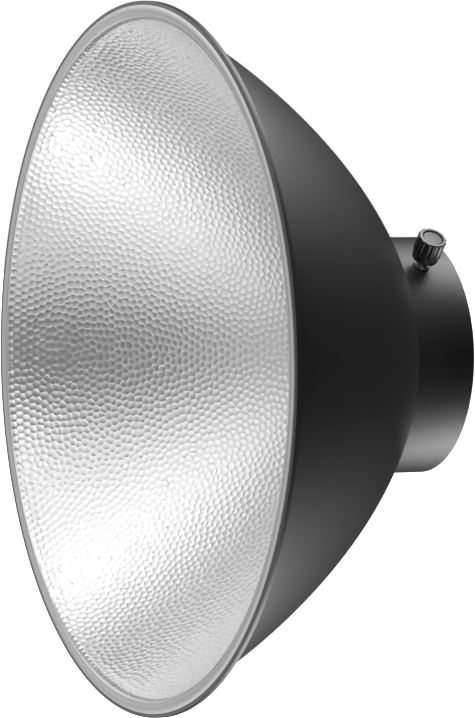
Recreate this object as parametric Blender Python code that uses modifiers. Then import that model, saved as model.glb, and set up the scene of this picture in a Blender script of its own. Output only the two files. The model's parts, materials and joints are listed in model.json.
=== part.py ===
"""Studio flash reflector: a deep silver dish in a black shell, with the collar and the clamp that fix it
to a flash head. Metres, +Z up. The optical axis is the Y axis: the dish opens towards -Y, and the origin
is the centre of the collar's rear opening, where the flash head goes in."""

from math import asin, atan2, cos, pi, radians, sin

import bmesh
import bpy
from mathutils import Matrix

MM = 0.001

# Driving dimensions, in millimetres. Depths are measured backwards from the rim's front face.
RIM_RADIUS = 175.0
TOTAL_DEPTH = 156.3
SHELL_THICKNESS = 0.9
LINER_THICKNESS = 0.8
GAP = 0.3  # between touching pieces
EASE = 0.3  # the small chamfer that breaks an edge

# The shell's outer surface: a bend behind the rim's flange, a Bezier curve, a shoulder and a flat back.
WALL_START_RADIUS = 167.03
WALL_HANDLE_1 = (164.2, 15.0)  # (radius, depth)
WALL_HANDLE_2 = (122.7, 89.5)
WALL_END = (63.3, 123.4)
BEND_RADIUS = 2.0
SHOULDER_RADIUS = 9.0
NECK_RADIUS = 48.0
HEM_LEAF_RADIUS = 169.9  # the rolled edge's inner end, behind the flange

COLLAR_RADIUS = 59.5
COLLAR_WALL = 1.5
COLLAR_FLANGE = 1.2
EDGE_CHAMFER = 0.4

NECK_RING_RADIUS = 57.2
NECK_RING_THICKNESS = 1.0
RIVET_COUNT = 6
RIVET_CIRCLE = 53.0
RIVET_SHANK = 1.6
RIVET_HEAD = 3.2
RIVET_HEAD_HEIGHT = 1.2
RIVET_TAIL = 2.6
RIVET_TAIL_HEIGHT = 1.0

# The clamp screw stands on the collar along a radius. Heights along it are measured from the collar.
CLAMP_ANGLE = 40.0  # from straight up towards +X
CLAMP_DEPTH = 137.9
BOLT_RADIUS = 2.5
BUSH_FLANGE_RADIUS = 4.3
BUSH_BODY_RADIUS = 3.3
BUSH_TOP = 2.0
BUSH_LIP = 0.6
BUSH_LIP_STANDOFF = 0.5  # from the collar's bore
SLEEVE_RADIUS = 4.2
SLEEVE_BOTTOM = 2.9
SLEEVE_TOP = 6.5
KNOB_BOTTOM = 4.2
KNOB_TOP = 18.4
KNOB_RADIUS = 7.2
KNOB_SKIRT_RADIUS = 6.7
KNOB_SKIRT_ROUND = 2.0
KNOB_TOP_ROUND = 1.1
KNOB_RIBS_BOTTOM = 8.8
KNOB_RIBS = 12
KNOB_FIRST_GROOVE = 6.5  # degrees about the screw, from the clamp's own X axis
KNOB_GROOVE_DEPTH = 0.55
KNOB_GROOVE_RADIUS = 0.75
KNOB_POCKET_RADIUS = 5.1
KNOB_POCKET_FLOOR = 12.0
CAP_RADIUS = 5.4
CAP_RECESS = 1.8
CAP_THICKNESS = 1.0
BOLT_HEAD_ACROSS_FLATS = 8.0
BOLT_HEAD_HEIGHT = 3.2

# The shoe that the screw pushes inwards. It is drawn where the screw holds it at rest.
SHOE_INSET = 5.4  # from the collar's bore to the shoe's back
SHOE_HEAD_GAP = 1.4  # its back's radius is this much less than the bore's, to suit the flash head
SHOE_THICKNESS = 1.2
SHOE_FACING_THICKNESS = 1.8
SHOE_ARC = 26.0  # degrees
SHOE_LENGTH = 12.0
SHOE_FACING_MARGIN = 1.0
JOURNAL_RADIUS = 1.7
GROOVE_RADIUS = 1.2
JOURNAL_TIP = 0.5  # beyond the clip's groove
CLIP_RADIUS = 3.4
CLIP_THICKNESS = 0.6
CLIP_SLOT = 2.2
FACING_HOLE_RADIUS = 4.0

PAD_THICKNESS = 1.2
PAD_ARC = 20.0  # degrees
PAD_LENGTH = 16.0
PAD_ANGLES = (CLAMP_ANGLE + 120.0, CLAMP_ANGLE + 240.0)

DRILL_REACH = 8.0  # how far a drill passes beyond what it goes through
DISH_SEGMENTS = 48
COLLAR_SEGMENTS = 60
SMALL_SEGMENTS = 24
RIVET_SEGMENTS = 12

BORE_RADIUS = COLLAR_RADIUS - COLLAR_WALL
FLANGE_BACK = SHELL_THICKNESS + GAP + LINER_THICKNESS
RIM_THICKNESS = FLANGE_BACK + GAP + LINER_THICKNESS


# ---- outlines, as lists of (radius, depth) in millimetres ----


def arc(centre, radius, start, end, steps):
    """Points on an arc. Angles are in radians, from +radius towards +depth."""
    angles = [start + (end - start) * i / steps for i in range(steps + 1)]
    return [(centre[0] + radius * cos(a), centre[1] + radius * sin(a)) for a in angles]


def bezier(points, t):
    """A point of a cubic Bezier curve and the unit normal on its outer side."""
    weights = ((1 - t) ** 3, 3 * (1 - t) ** 2 * t, 3 * (1 - t) * t * t, t**3)
    slopes = ((1 - t) ** 2, 2 * (1 - t) * t, t * t)
    place = [sum(w * p[k] for w, p in zip(weights, points)) for k in (0, 1)]
    steps = [[points[i + 1][k] - points[i][k] for k in (0, 1)] for i in range(3)]
    along = [sum(w * s[k] for w, s in zip(slopes, steps)) for k in (0, 1)]
    size = (along[0] ** 2 + along[1] ** 2) ** 0.5
    return place, (along[1] / size, -along[0] / size)


def wall_points():
    """The control points of the wall's curve. Its first point lies where the bend ends."""
    lean = 0.0
    start = (WALL_START_RADIUS, FLANGE_BACK)
    for _ in range(4):
        start = (WALL_START_RADIUS, FLANGE_BACK + BEND_RADIUS * (1 - sin(lean)))
        lean = atan2(start[0] - WALL_HANDLE_1[0], WALL_HANDLE_1[1] - start[1])
    return [start, WALL_HANDLE_1, WALL_HANDLE_2, WALL_END]


WALL = wall_points()
WALL_END_NORMAL = bezier(WALL, 1.0)[1]
SHOULDER_CENTRE = (
    WALL_END[0] - SHOULDER_RADIUS * WALL_END_NORMAL[0],
    WALL_END[1] - SHOULDER_RADIUS * WALL_END_NORMAL[1],
)
BACK_DEPTH = SHOULDER_CENTRE[1] + SHOULDER_RADIUS


def bowl_outline(inset, bend_steps=2, wall_steps=6, shoulder_steps=3):
    """The bowl's section from the flange to the neck, this far inside the shell's outer surface."""
    first_place, first_normal = bezier(WALL, 0.0)
    lean = asin(first_normal[1])
    bend_centre = (
        first_place[0] + BEND_RADIUS * first_normal[0],
        first_place[1] + BEND_RADIUS * first_normal[1],
    )
    points = arc(bend_centre, BEND_RADIUS + inset, -pi / 2, -pi + lean, bend_steps)[:-1]
    for i in range(wall_steps):
        place, normal = bezier(WALL, i / wall_steps)
        points.append((place[0] - inset * normal[0], place[1] - inset * normal[1]))
    shoulder_start = atan2(WALL_END_NORMAL[1], WALL_END_NORMAL[0])
    points += arc(SHOULDER_CENTRE, SHOULDER_RADIUS - inset, shoulder_start, pi / 2, shoulder_steps)
    points.append((NECK_RADIUS, BACK_DEPTH - inset))
    return points


def at_depth(points):
    """Outline points as (radius, y), with the origin at the collar's rear opening."""
    return [(radius, depth - TOTAL_DEPTH) for radius, depth in points]


# ---- scene, materials and modelling helpers ----

for old in list(bpy.data.objects):
    bpy.data.objects.remove(old)

parts = bpy.data.collections.new("studio_reflector")
cutters = bpy.data.collections.new("cutters")
bpy.context.scene.collection.children.link(parts)
bpy.context.scene.collection.children.link(cutters)


def material(name, colour, roughness, metallic):
    made = bpy.data.materials.new(name)
    made.use_nodes = True
    shader = made.node_tree.nodes["Principled BSDF"]
    shader.inputs["Base Color"].default_value = (*colour, 1.0)
    shader.inputs["Roughness"].default_value = roughness
    shader.inputs["Metallic"].default_value = metallic
    made.diffuse_color = (*colour, 1.0)
    return made


SATIN_BLACK = material("satin_black_paint", (0.022, 0.022, 0.023), 0.38, 0.0)
SILVER = material("pebbled_silver_aluminium", (0.80, 0.80, 0.80), 0.28, 1.0)
COLLAR_BLACK = material("collar_black_paint", (0.020, 0.020, 0.021), 0.34, 0.0)
STAINLESS = material("stainless_steel", (0.62, 0.61, 0.59), 0.25, 1.0)
RIVET_METAL = material("rivet_aluminium", (0.70, 0.70, 0.71), 0.35, 1.0)
NICKEL = material("nickel_plate", (0.66, 0.64, 0.60), 0.18, 1.0)
KNOB_PLASTIC = material("black_knob_plastic", (0.018, 0.018, 0.018), 0.42, 0.0)
CAP_PLASTIC = material("grey_black_cap_plastic", (0.06, 0.06, 0.06), 0.5, 0.0)
ZINC_STEEL = material("zinc_plated_steel", (0.56, 0.57, 0.58), 0.32, 1.0)
FACING_RUBBER = material("facing_rubber", (0.03, 0.03, 0.03), 0.8, 0.0)
PAD_FELT = material("grip_pad_felt", (0.035, 0.035, 0.037), 0.95, 0.0)


def frame_empty(name, location, rotation):
    empty = bpy.data.objects.new(name, None)
    empty.location = location
    empty.rotation_euler = rotation
    parts.objects.link(empty)
    return empty


# Its local Z runs along the optical axis, towards the rear.
dish_axis = frame_empty("dish_axis", (0, 0, 0), (-pi / 2, 0, 0))
# Its local Z runs along the clamp screw, outwards, and its local Y along the optical axis.
clamp_axis = frame_empty(
    "clamp_axis", (0, (CLAMP_DEPTH - TOTAL_DEPTH) * MM, 0), (0, radians(CLAMP_ANGLE), 0)
)


def new_part(name, mesh, finish, parent, collection=None):
    made = bpy.data.objects.new(name, mesh)
    if finish:
        mesh.materials.append(finish)
    made.parent = parent
    (collection or parts).objects.link(made)
    return made


def outline_mesh(name, points, closed=True):
    """Edges through (radius, height) points in the XZ plane, in metres."""
    mesh = bpy.data.meshes.new(name)
    vertices = [(radius * MM, 0, height * MM) for radius, height in points]
    edges = [(i, i + 1) for i in range(len(points) - 1)]
    if closed:
        edges.append((len(points) - 1, 0))
    mesh.from_pydata(vertices, edges, [])
    return mesh


def smooth_by_angle(made, angle=30.0):
    """Shades round faces smooth. The modifiers are applied first, so that the angles are the final ones."""
    mesh = bpy.data.meshes.new_from_object(
        made.evaluated_get(bpy.context.evaluated_depsgraph_get())
    )
    made.modifiers.clear()
    made.data = mesh
    mesh.shade_smooth()
    mesh.set_sharp_from_angle(angle=radians(angle))


def turned(name, points, finish, parent, segments, closed=True):
    """A profile turned a whole turn about the parent's Z axis. It runs down its outer side first."""
    made = new_part(name, outline_mesh(name, points, closed), finish, parent)
    screw = made.modifiers.new("turn", "SCREW")
    screw.axis = "Z"
    screw.steps = segments
    screw.render_steps = segments
    screw.use_merge_vertices = True
    screw.merge_threshold = 0.00001
    return made


def curved_plate(name, radius, thickness, arc_degrees, length, centre_shift, finish, parent, steps=10):
    """A plate bent about the Y axis, centred on the parent's Z axis. Its outer face has this radius."""
    mesh = bpy.data.meshes.new(name)
    half = radians(arc_degrees) / 2
    ends = [
        (-radius * sin(half) * MM, y * MM, (radius * cos(half) + centre_shift) * MM)
        for y in (-length / 2, length / 2)
    ]
    mesh.from_pydata(ends, [(0, 1)], [])
    plate = bmesh.new()
    plate.from_mesh(mesh)
    bmesh.ops.spin(
        plate,
        geom=plate.verts[:] + plate.edges[:],
        cent=(0, 0, centre_shift * MM),
        axis=(0, 1, 0),
        angle=2 * half,
        steps=steps,
    )
    bmesh.ops.recalc_face_normals(plate, faces=plate.faces[:])
    if sum(face.normal.z for face in plate.faces) < 0:
        bmesh.ops.reverse_faces(plate, faces=plate.faces[:])
    plate.to_mesh(mesh)
    plate.free()
    made = new_part(name, mesh, finish, parent)
    thick = made.modifiers.new("thickness", "SOLIDIFY")
    thick.thickness = thickness * MM
    thick.offset = -1.0
    thick.use_even_offset = True
    return made


def cylinder_cutter(name, radius, low, high, parent, places=((0.0, 0.0),), segments=SMALL_SEGMENTS):
    """One or more plain cylinders along the parent's Z axis, from low to high, as one cutter."""
    drill = bmesh.new()
    for x, y in places:
        bmesh.ops.create_cone(
            drill,
            cap_ends=True,
            segments=segments,
            radius1=radius * MM,
            radius2=radius * MM,
            depth=(high - low) * MM,
            matrix=Matrix.Translation((x * MM, y * MM, (low + high) / 2 * MM)),
        )
    return cutter_from(name, drill, parent)


def cutter_from(name, shape, parent):
    mesh = bpy.data.meshes.new(name)
    shape.to_mesh(mesh)
    shape.free()
    made = new_part(name, mesh, None, parent, cutters)
    made.hide_render = True
    made.display_type = "WIRE"
    return made


def cut(made, cutter):
    step = made.modifiers.new("cut_" + cutter.name, "BOOLEAN")
    step.operation = "DIFFERENCE"
    step.object = cutter


# ---- the dish ----


def rivet_places():
    angles = [2 * pi * (i + 0.5) / RIVET_COUNT for i in range(RIVET_COUNT)]
    return [(RIVET_CIRCLE * cos(a), RIVET_CIRCLE * sin(a)) for a in angles]


def make_outer_shell():
    """The black spun shell, with a flange at the rim that the liner's edge is rolled over."""
    flange_end = RIM_RADIUS - RIM_THICKNESS / 2
    outside = [(flange_end, FLANGE_BACK)] + bowl_outline(0.0)
    inside = [(flange_end, FLANGE_BACK - SHELL_THICKNESS)] + bowl_outline(SHELL_THICKNESS)
    shell = turned(
        "outer_shell",
        at_depth(outside[::-1] + inside),
        SATIN_BLACK,
        dish_axis,
        DISH_SEGMENTS,
    )
    cut(shell, rivet_drill)


def make_inner_reflector():
    """The silver liner. Its edge is rolled back over the shell's flange as a round hem."""
    hem_centre = (RIM_RADIUS - RIM_THICKNESS / 2, RIM_THICKNESS / 2)
    hem_inside = arc(hem_centre, hem_centre[1] - LINER_THICKNESS, -pi / 2, pi / 2, 2)
    hem_outside = arc(hem_centre, hem_centre[1], pi / 2, -pi / 2, 4)
    leaf = [(HEM_LEAF_RADIUS, RIM_THICKNESS - LINER_THICKNESS), (HEM_LEAF_RADIUS, RIM_THICKNESS)]
    outside = bowl_outline(SHELL_THICKNESS + GAP)[::-1]
    inside = bowl_outline(SHELL_THICKNESS + GAP + LINER_THICKNESS)
    liner = turned(
        "inner_reflector",
        at_depth(outside + hem_inside + leaf + hem_outside + inside),
        SILVER,
        dish_axis,
        DISH_SEGMENTS,
    )
    cut(liner, rivet_drill)


def make_mounting_collar():
    """The black tube that slides over the flash head, with an inward flange riveted to the dish."""
    front = BACK_DEPTH + GAP - TOTAL_DEPTH
    chamfer = EDGE_CHAMFER
    points = [
        (COLLAR_RADIUS - chamfer, 0.0),
        (COLLAR_RADIUS, -chamfer),
        (COLLAR_RADIUS, front + chamfer),
        (COLLAR_RADIUS - chamfer, front),
        (NECK_RADIUS, front),
        (NECK_RADIUS, front + COLLAR_FLANGE),
        (BORE_RADIUS - 2 * chamfer, front + COLLAR_FLANGE),
        (BORE_RADIUS, front + COLLAR_FLANGE + 2 * chamfer),
        (BORE_RADIUS, -chamfer),
        (BORE_RADIUS + chamfer, 0.0),
    ]
    collar = turned("mounting_collar", points, COLLAR_BLACK, dish_axis, COLLAR_SEGMENTS)
    cut(collar, rivet_drill)
    cut(collar, bush_drill)


def make_neck_ring():
    """The flat ring that covers the liner's cut edge inside the dish."""
    rear = BACK_DEPTH - FLANGE_BACK - GAP - TOTAL_DEPTH
    front = rear - NECK_RING_THICKNESS
    points = [
        (NECK_RING_RADIUS, rear),
        (NECK_RING_RADIUS, front + EASE),
        (NECK_RING_RADIUS - EASE, front),
        (NECK_RADIUS + EASE, front),
        (NECK_RADIUS, front + EASE),
        (NECK_RADIUS, rear),
    ]
    ring = turned("neck_ring", points, STAINLESS, dish_axis, DISH_SEGMENTS)
    cut(ring, rivet_drill)


def make_rivets():
    """Domed rivets through the neck ring, the liner, the shell and the collar's flange."""
    head_face = BACK_DEPTH - FLANGE_BACK - 2 * GAP - NECK_RING_THICKNESS - TOTAL_DEPTH
    tail_face = BACK_DEPTH + 2 * GAP + COLLAR_FLANGE - TOTAL_DEPTH
    flatness = RIVET_HEAD_HEIGHT / RIVET_HEAD
    ball = arc((0.0, 0.0), RIVET_HEAD, 0.0, -pi / 2, 3)[:-1]
    dome = [(radius, head_face + flatness * height) for radius, height in ball]
    points = [
        (0.0, tail_face + RIVET_TAIL_HEIGHT),
        (RIVET_TAIL * 0.6, tail_face + RIVET_TAIL_HEIGHT),
        (RIVET_TAIL, tail_face + RIVET_TAIL_HEIGHT * 0.4),
        (RIVET_TAIL, tail_face),
        (RIVET_SHANK, tail_face),
        (RIVET_SHANK, head_face),
        *dome,
        (0.0, head_face - RIVET_HEAD_HEIGHT),
    ]
    for number, (x, y) in enumerate(rivet_places(), start=1):
        rivet = turned(
            f"neck_rivet_{number}", points, RIVET_METAL, dish_axis, RIVET_SEGMENTS, closed=False
        )
        rivet.location = (x * MM, y * MM, 0)


# ---- the clamp ----


def make_clamp_bush():
    """The threaded bush that is fixed in the collar's wall, swaged on the inside."""
    bore = BOLT_RADIUS + GAP
    lip_top = BORE_RADIUS - BUSH_LIP_STANDOFF
    points = [
        (BUSH_FLANGE_RADIUS - EASE, COLLAR_RADIUS + BUSH_TOP),
        (BUSH_FLANGE_RADIUS, COLLAR_RADIUS + BUSH_TOP - EASE),
        (BUSH_FLANGE_RADIUS, COLLAR_RADIUS + GAP),
        (BUSH_BODY_RADIUS, COLLAR_RADIUS + GAP),
        (BUSH_BODY_RADIUS, lip_top),
        (BUSH_FLANGE_RADIUS, lip_top),
        (BUSH_FLANGE_RADIUS, lip_top - BUSH_LIP),
        (bore, lip_top - BUSH_LIP),
        (bore, COLLAR_RADIUS + BUSH_TOP),
    ]
    turned("clamp_bush", points, NICKEL, clamp_axis, SMALL_SEGMENTS)


def make_clamp_bolt():
    """A hexagon bolt with a plain journal at its tip, on which the shoe swivels."""
    shoe_back = BORE_RADIUS - SHOE_INSET
    shoe_front = shoe_back - SHOE_THICKNESS
    shoulder = shoe_back + GAP
    groove_top = shoe_front - GAP / 2
    groove_bottom = groove_top - CLIP_THICKNESS - GAP
    tip = groove_bottom - JOURNAL_TIP
    head_bottom = COLLAR_RADIUS + KNOB_POCKET_FLOOR + GAP
    shank_top = head_bottom + BOLT_HEAD_HEIGHT / 2
    points = [
        (0.0, shank_top),
        (BOLT_RADIUS, shank_top),
        (BOLT_RADIUS, shoulder + EASE),
        (BOLT_RADIUS - EASE, shoulder),
        (JOURNAL_RADIUS, shoulder),
        (JOURNAL_RADIUS, groove_top),
        (GROOVE_RADIUS, groove_top),
        (GROOVE_RADIUS, groove_bottom),
        (JOURNAL_RADIUS, groove_bottom),
        (JOURNAL_RADIUS, tip + EASE),
        (JOURNAL_RADIUS - EASE, tip),
        (0.0, tip),
    ]
    bolt = turned("clamp_bolt", points, ZINC_STEEL, clamp_axis, SMALL_SEGMENTS, closed=False)
    head = bmesh.new()
    bmesh.ops.create_cone(
        head,
        cap_ends=True,
        segments=6,
        radius1=BOLT_HEAD_ACROSS_FLATS / 2 / cos(pi / 6) * MM,
        radius2=BOLT_HEAD_ACROSS_FLATS / 2 / cos(pi / 6) * MM,
        depth=BOLT_HEAD_HEIGHT * MM,
        matrix=Matrix.Translation((0, 0, (head_bottom + BOLT_HEAD_HEIGHT / 2) * MM)),
    )
    head_guide = cutter_from("bolt_head", head, clamp_axis)
    union = bolt.modifiers.new("head", "BOOLEAN")
    union.operation = "UNION"
    union.object = head_guide


def make_neck_sleeve():
    """The bright spacer sleeve between the knob and the bush."""
    bore = BOLT_RADIUS + GAP
    low = COLLAR_RADIUS + SLEEVE_BOTTOM
    high = COLLAR_RADIUS + SLEEVE_TOP
    points = [
        (SLEEVE_RADIUS, high),
        (SLEEVE_RADIUS, low + EASE),
        (SLEEVE_RADIUS - EASE, low),
        (bore, low),
        (bore, high),
    ]
    turned("neck_sleeve", points, NICKEL, clamp_axis, SMALL_SEGMENTS)


def make_clamp_knob():
    """The moulded knob: a plain rounded skirt, grooved grip above it and a recess for the cap."""
    low = COLLAR_RADIUS + KNOB_BOTTOM
    high = COLLAR_RADIUS + KNOB_TOP
    ribs_low = COLLAR_RADIUS + KNOB_RIBS_BOTTOM
    top_centre = (KNOB_RADIUS - KNOB_TOP_ROUND, high - KNOB_TOP_ROUND)
    top_edge = arc(top_centre, KNOB_TOP_ROUND, pi / 2, 0.0, 2)
    skirt_centre = (KNOB_SKIRT_RADIUS - KNOB_SKIRT_ROUND, low + KNOB_SKIRT_ROUND)
    skirt = arc(skirt_centre, KNOB_SKIRT_ROUND, 0.0, -pi / 2, 3)
    recess = high - CAP_RECESS
    sleeve_hole = SLEEVE_RADIUS + GAP
    sleeve_floor = COLLAR_RADIUS + SLEEVE_TOP + GAP
    bore = BOLT_RADIUS + GAP
    points = [
        *top_edge,
        (KNOB_RADIUS, ribs_low),
        (KNOB_SKIRT_RADIUS, ribs_low - EDGE_CHAMFER),
        *skirt,
        (sleeve_hole, low),
        (sleeve_hole, sleeve_floor),
        (bore, sleeve_floor),
        (bore, COLLAR_RADIUS + KNOB_POCKET_FLOOR),
        (KNOB_POCKET_RADIUS, COLLAR_RADIUS + KNOB_POCKET_FLOOR),
        (KNOB_POCKET_RADIUS, recess),
        (CAP_RADIUS + GAP, recess),
        (CAP_RADIUS + GAP, high),
    ]
    knob = turned("clamp_knob", points, KNOB_PLASTIC, clamp_axis, 3 * KNOB_RIBS)
    reach = KNOB_RADIUS - KNOB_GROOVE_DEPTH + KNOB_GROOVE_RADIUS
    angles = [radians(KNOB_FIRST_GROOVE) + 2 * pi * i / KNOB_RIBS for i in range(KNOB_RIBS)]
    places = [(reach * cos(a), reach * sin(a)) for a in angles]
    grooves = cylinder_cutter(
        "knob_grooves",
        KNOB_GROOVE_RADIUS,
        ribs_low - EDGE_CHAMFER / 2,
        high + EDGE_CHAMFER,
        clamp_axis,
        places,
        segments=10,
    )
    cut(knob, grooves)


def make_knob_cap():
    """The thin disc that closes the recess over the bolt's head."""
    low = COLLAR_RADIUS + KNOB_TOP - CAP_RECESS + GAP
    high = low + CAP_THICKNESS
    points = [
        (0.0, high),
        (CAP_RADIUS - EASE, high),
        (CAP_RADIUS, high - EASE),
        (CAP_RADIUS, low),
        (0.0, low),
    ]
    turned("knob_cap", points, CAP_PLASTIC, clamp_axis, SMALL_SEGMENTS, closed=False)


def make_shoe():
    """The bent plate that presses on the flash head, its rubber facing and the clip that holds it on."""
    shift = SHOE_HEAD_GAP - SHOE_INSET
    radius = BORE_RADIUS - SHOE_HEAD_GAP
    plate = curved_plate(
        "shoe_plate", radius, SHOE_THICKNESS, SHOE_ARC, SHOE_LENGTH, shift, ZINC_STEEL, clamp_axis
    )
    cut(plate, cylinder_cutter("shoe_hole", JOURNAL_RADIUS + GAP, 0.0, BORE_RADIUS, clamp_axis))
    facing_radius = radius - SHOE_THICKNESS - GAP
    facing = curved_plate(
        "shoe_facing",
        facing_radius,
        SHOE_FACING_THICKNESS,
        SHOE_ARC - SHOE_FACING_MARGIN,
        SHOE_LENGTH - SHOE_FACING_MARGIN,
        shift,
        FACING_RUBBER,
        clamp_axis,
    )
    cut(facing, cylinder_cutter("facing_hole", FACING_HOLE_RADIUS, 0.0, BORE_RADIUS, clamp_axis))
    top = BORE_RADIUS - SHOE_INSET - SHOE_THICKNESS - GAP
    inner = GROOVE_RADIUS + GAP
    bottom = top - CLIP_THICKNESS
    points = [(CLIP_RADIUS, top), (CLIP_RADIUS, bottom), (inner, bottom), (inner, top)]
    clip = turned("shoe_clip", points, STAINLESS, clamp_axis, SMALL_SEGMENTS)
    slot = bmesh.new()
    bmesh.ops.create_cube(slot, size=1.0)
    reach = 2 * CLIP_RADIUS
    bmesh.ops.scale(slot, vec=(reach * MM, CLIP_SLOT * MM, 4 * CLIP_THICKNESS * MM), verts=slot.verts[:])
    bmesh.ops.translate(slot, vec=(reach / 2 * MM, 0, (top + bottom) / 2 * MM), verts=slot.verts[:])
    cut(clip, cutter_from("clip_slot", slot, clamp_axis))


def make_grip_pads():
    """Two felt pads in the bore, which with the shoe hold the flash head at three places."""
    for name, angle in zip(("grip_pad_lower", "grip_pad_side"), PAD_ANGLES):
        holder = frame_empty(
            name + "_axis", (0, (CLAMP_DEPTH - TOTAL_DEPTH) * MM, 0), (0, radians(angle), 0)
        )
        curved_plate(
            name, BORE_RADIUS - GAP, PAD_THICKNESS, PAD_ARC, PAD_LENGTH, 0.0, PAD_FELT, holder, steps=8
        )


rivet_drill = cylinder_cutter(
    "rivet_drill",
    RIVET_SHANK + GAP,
    BACK_DEPTH - TOTAL_DEPTH - DRILL_REACH,
    BACK_DEPTH - TOTAL_DEPTH + DRILL_REACH,
    dish_axis,
    rivet_places(),
    segments=RIVET_SEGMENTS,
)
bush_drill = cylinder_cutter(
    "bush_drill",
    BUSH_BODY_RADIUS + GAP,
    BORE_RADIUS - DRILL_REACH,
    COLLAR_RADIUS + DRILL_REACH,
    clamp_axis,
)

make_outer_shell()
make_inner_reflector()
make_mounting_collar()
make_neck_ring()
make_rivets()
make_clamp_bush()
make_clamp_bolt()
make_neck_sleeve()
make_clamp_knob()
make_knob_cap()
make_shoe()
make_grip_pads()

for piece in [made for made in parts.objects if made.type == "MESH"]:
    smooth_by_angle(piece)
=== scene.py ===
"""Looks of the studio flash reflector: a pebbled silver dish in a black shell, its collar and its clamp.

Pieces are made in millimetres about their own Z axis. DISH stands that axis along the row's +Y, from the
dish towards the flash head, and CLAMP stands it along the clamp screw, outwards. Depths are measured
backwards from the rim's front face, and heights on the clamp from the optical axis. Unlike in the CAD,
the sheets and the collar have no holes where the rivets and the bush go through.
"""

import json

from math import asin, atan2, cos, pi, radians, sin

import bmesh
import bpy
import numpy as np
from mathutils import Matrix, Vector
from mathutils.geometry import delaunay_2d_cdt


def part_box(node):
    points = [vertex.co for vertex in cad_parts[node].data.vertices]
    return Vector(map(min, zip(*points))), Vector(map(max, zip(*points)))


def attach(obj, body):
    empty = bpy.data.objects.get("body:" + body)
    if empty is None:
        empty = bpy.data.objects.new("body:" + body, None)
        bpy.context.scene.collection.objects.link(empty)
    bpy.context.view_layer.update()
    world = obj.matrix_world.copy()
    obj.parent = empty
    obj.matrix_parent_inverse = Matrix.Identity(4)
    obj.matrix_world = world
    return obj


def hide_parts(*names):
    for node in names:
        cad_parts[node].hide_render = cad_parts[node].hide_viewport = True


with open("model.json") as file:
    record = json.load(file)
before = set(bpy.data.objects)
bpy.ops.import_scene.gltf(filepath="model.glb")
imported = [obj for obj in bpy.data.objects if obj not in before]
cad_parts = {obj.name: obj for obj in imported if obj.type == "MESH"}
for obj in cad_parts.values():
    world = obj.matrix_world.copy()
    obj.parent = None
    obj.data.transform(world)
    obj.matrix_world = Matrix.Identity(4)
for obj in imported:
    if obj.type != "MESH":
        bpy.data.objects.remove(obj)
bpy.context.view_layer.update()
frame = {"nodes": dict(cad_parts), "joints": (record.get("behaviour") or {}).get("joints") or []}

MM = 0.001
MICRON = 0.000001


# ---- places and sizes read from the frame ----


def node_box(node):
    """A CAD node's lowest and highest corner, in millimetres."""
    return [tuple(v / MM for v in corner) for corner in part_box(node)]


RIM_RADIUS = node_box("inner_reflector")[1][0]
RIM_Y = node_box("inner_reflector")[0][1]
COLLAR_RADIUS = node_box("mounting_collar")[1][0]
COLLAR_FRONT = node_box("mounting_collar")[0][1]
NECK_RING_RADIUS = node_box("neck_ring")[1][0]
NECK_RING_FRONT, NECK_RING_REAR = [corner[1] for corner in node_box("neck_ring")]
RIVETS = [f"neck_rivet_{number}" for number in range(1, 7)]

SCREW = next(joint for joint in frame["joints"] if joint["name"] == "knob_turn")
SCREW_ANGLE = atan2(SCREW["axis"][0], SCREW["axis"][2])
DISH = Matrix.Rotation(-pi / 2, 4, "X")
CLAMP = Matrix.Translation(SCREW["pos_m"]) @ Matrix.Rotation(SCREW_ANGLE, 4, "Y")

# ---- sizes of the design, in millimetres ----

SHELL_THICKNESS = 0.9
LINER_THICKNESS = 0.8
GAP = 0.3
EASE = 0.3
LONGEST_EASE = 0.45  # as a share of an edge
FLANGE_BACK = SHELL_THICKNESS + GAP + LINER_THICKNESS
RIM_THICKNESS = FLANGE_BACK + GAP + LINER_THICKNESS

WALL_START_RADIUS = 167.03
WALL_HANDLE_1 = (164.2, 15.0)
WALL_HANDLE_2 = (122.7, 89.5)
WALL_END = (63.3, 123.4)
BEND_RADIUS = 2.0
SHOULDER_RADIUS = 9.0
NECK_RADIUS = 48.0
HEM_LEAF_RADIUS = 169.9

# The pebbles. Shares are of a pebble's own pitch, width or height.
PEBBLE_EDGE_RADIUS = 166.3
PEBBLE_PITCH = 3.85
PEBBLE_HEIGHT = 0.22
PEBBLE_DISORDER = 0.42  # how far a pebble strays from its regular place
PILLOW_SHARE = 0.62  # where the ring of points between a pebble's top and its grooves lies
PILLOW_RISE = 0.64  # that ring's height
TOP_WANDER = 0.10  # how far a pebble's top strays from its centre, where the dish has TYPICAL_RADIUS
TYPICAL_RADIUS = 120.0
LOWEST_PEBBLE = 0.78
EDGE_PEBBLE = 0.7  # the height at the pebbles' edge, which grows to full over EDGE_RISE_LENGTH
EDGE_RISE_LENGTH = 2.4
EDGE_LEDGE = 0.4  # from the pebbles' edge to the first point of the bend
WELD_DISTANCE = 0.03
RIM_SHARP_ANGLE = radians(45.0)

# The rolled rim. Its front face, the land, is deeper at both its edges than in its middle.
LAND_CROWN = 0.28
LAND_STEPS = 10
HEM_CORNER_RADIUS = 0.5
HEM_CORNER_DEPTH = 0.95
HEM_CORNER_START = radians(15.0)
HEM_BACK_RADIUS = 0.3
PAINT_EDGE_RADIUS = 173.0  # the black coat runs over the rolled edge as far as this

COLLAR_WALL = 1.5
COLLAR_FLANGE = 1.2
COLLAR_EDGE = 0.4

RIVET_SHANK = 1.6
RIVET_HEAD = 3.2
RIVET_HEAD_HEIGHT = 1.2
RIVET_TAIL = 2.6
RIVET_TAIL_HEIGHT = 1.0
RIVET_TAIL_SECTION = ((0, 1), (0.6, 1), (0.88, 0.78), (1, 0.4), (1, 0))  # shares of its radius and height

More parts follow.
